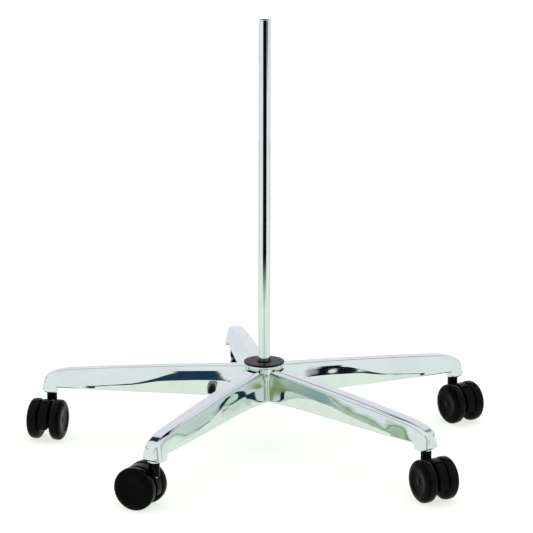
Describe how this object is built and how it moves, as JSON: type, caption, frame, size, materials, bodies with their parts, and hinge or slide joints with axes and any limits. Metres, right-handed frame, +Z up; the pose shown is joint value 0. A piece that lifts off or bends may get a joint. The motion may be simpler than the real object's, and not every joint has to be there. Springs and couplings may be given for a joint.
{
  "type": "movable floor base",
  "caption": "Rolling floor base: chromed star with twin-wheel swivel casters and an upright open-topped tube that carries a lamp or screen.",
  "frame": {"origin": "middle of the box round the footprint, at floor level; the upright tube's axis stands at x 8.464 mm, y -15.992 mm", "axes": "+Z up along the tube, +X to the right in the picture, +Y away from its camera"},
  "size_m": [0.6228, 0.5918, 0.574],
  "materials": {
    "star_chrome": "bright chrome plate on a die-cast star",
    "tube_chrome": "bright chrome plate on steel tube",
    "black_gloss": "gloss black moulding",
    "black_nylon": "semi-gloss black moulding",
    "black_tread": "smooth black tread",
    "zinc_steel": "bright zinc plate",
    "dark_steel": "oil-blacked spring steel"
  },
  "bodies": {
    "base": {"star_base": "star_chrome", "post_tube": "tube_chrome", "post_plug": "zinc_steel", "hub_cap": "black_gloss", "hub_adapter": "black_nylon", "hub_washer": "zinc_steel", "spring_washer": "dark_steel", "post_bolt": "zinc_steel", "right_caster_grip_ring": "dark_steel", "back_caster_grip_ring": "dark_steel", "left_caster_grip_ring": "dark_steel", "front_left_caster_grip_ring": "dark_steel", "front_right_caster_grip_ring": "dark_steel"},
    "right_swivel": {"right_caster_hood": "black_nylon", "right_caster_stem": "zinc_steel", "right_caster_axle": "zinc_steel"},
    "right_wheel_a": {"right_caster_wheel_a": "black_nylon", "right_caster_tread_a": "black_tread"},
    "right_wheel_b": {"right_caster_wheel_b": "black_nylon", "right_caster_tread_b": "black_tread"},
    "back_swivel": {"back_caster_hood": "black_nylon", "back_caster_stem": "zinc_steel", "back_caster_axle": "zinc_steel"},
    "back_wheel_a": {"back_caster_wheel_a": "black_nylon", "back_caster_tread_a": "black_tread"},
    "back_wheel_b": {"back_caster_wheel_b": "black_nylon", "back_caster_tread_b": "black_tread"},
    "left_swivel": {"left_caster_hood": "black_nylon", "left_caster_stem": "zinc_steel", "left_caster_axle": "zinc_steel"},
    "left_wheel_a": {"left_caster_wheel_a": "black_nylon", "left_caster_tread_a": "black_tread"},
    "left_wheel_b": {"left_caster_wheel_b": "black_nylon", "left_caster_tread_b": "black_tread"},
    "front_left_swivel": {"front_left_caster_hood": "black_nylon", "front_left_caster_stem": "zinc_steel", "front_left_caster_axle": "zinc_steel"},
    "front_left_wheel_a": {"front_left_caster_wheel_a": "black_nylon", "front_left_caster_tread_a": "black_tread"},
    "front_left_wheel_b": {"front_left_caster_wheel_b": "black_nylon", "front_left_caster_tread_b": "black_tread"},
    "front_right_swivel": {"front_right_caster_hood": "black_nylon", "front_right_caster_stem": "zinc_steel", "front_right_caster_axle": "zinc_steel"},
    "front_right_wheel_a": {"front_right_caster_wheel_a": "black_nylon", "front_right_caster_tread_a": "black_tread"},
    "front_right_wheel_b": {"front_right_caster_wheel_b": "black_nylon", "front_right_caster_tread_b": "black_tread"}
  },
  "joints": [
    {"name": "right_swivel_turn", "type": "hinge", "parent": "base", "child": "right_swivel", "pos_m": [0.26979, 0.11316, 0.0605], "axis": [0, 0, 1], "continuous": true},
    {"name": "right_wheel_a_roll", "type": "hinge", "parent": "right_swivel", "child": "right_wheel_a", "pos_m": [0.28012, 0.09663, 0.0275], "axis": [0.848, 0.5299, 0], "continuous": true},
    {"name": "right_wheel_b_roll", "type": "hinge", "parent": "right_swivel", "child": "right_wheel_b", "pos_m": [0.28012, 0.09663, 0.0275], "axis": [0.848, 0.5299, 0], "continuous": true},
    {"name": "back_swivel_turn", "type": "hinge", "parent": "base", "child": "back_swivel", "pos_m": [-0.03362, 0.27246, 0.0605], "axis": [0, 0, 1], "continuous": true},
    {"name": "back_wheel_a_roll", "type": "hinge", "parent": "back_swivel", "child": "back_wheel_a", "pos_m": [-0.01414, 0.27143, 0.0275], "axis": [0.0523, 0.9986, 0], "continuous": true},
    {"name": "back_wheel_b_roll", "type": "hinge", "parent": "back_swivel", "child": "back_wheel_b", "pos_m": [-0.01414, 0.27143, 0.0275], "axis": [0.0523, 0.9986, 0], "continuous": true},
    {"name": "left_swivel_turn", "type": "hinge", "parent": "base", "child": "left_swivel", "pos_m": [-0.27887, 0.03312, 0.0605], "axis": [0, 0, 1], "continuous": true},
    {"name": "left_wheel_a_roll", "type": "hinge", "parent": "left_swivel", "child": "left_wheel_a", "pos_m": [-0.28359, 0.0142, 0.0275], "axis": [0.9703, -0.2419, 0], "continuous": true},
    {"name": "left_wheel_b_roll", "type": "hinge", "parent": "left_swivel", "child": "left_wheel_b", "pos_m": [-0.28359, 0.0142, 0.0275], "axis": [0.9703, -0.2419, 0], "continuous": true},
    {"name": "front_left_swivel_turn", "type": "hinge", "parent": "base", "child": "front_left_swivel", "pos_m": [-0.12704, -0.27408, 0.0605], "axis": [0, 0, 1], "continuous": true},
    {"name": "front_left_wheel_a_roll", "type": "hinge", "parent": "front_left_swivel", "child": "front_left_wheel_a", "pos_m": [-0.14471, -0.26584, 0.0275], "axis": [-0.4226, -0.9063, 0], "continuous": true},
    {"name": "front_left_wheel_b_roll", "type": "hinge", "parent": "front_left_swivel", "child": "front_left_wheel_b", "pos_m": [-0.14471, -0.26584, 0.0275], "axis": [-0.4226, -0.9063, 0], "continuous": true},
    {"name": "front_right_swivel_turn", "type": "hinge", "parent": "base", "child": "front_right_swivel", "pos_m": [0.21205, -0.22462, 0.0605], "axis": [0, 0, 1], "continuous": true},
    {"name": "front_right_wheel_a_roll", "type": "hinge", "parent": "front_right_swivel", "child": "front_right_wheel_a", "pos_m": [0.22121, -0.24183, 0.0275], "axis": [0.8829, 0.4695, 0], "continuous": true},
    {"name": "front_right_wheel_b_roll", "type": "hinge", "parent": "front_right_swivel", "child": "front_right_wheel_b", "pos_m": [0.22121, -0.24183, 0.0275], "axis": [0.8829, 0.4695, 0], "continuous": true}
  ]
}
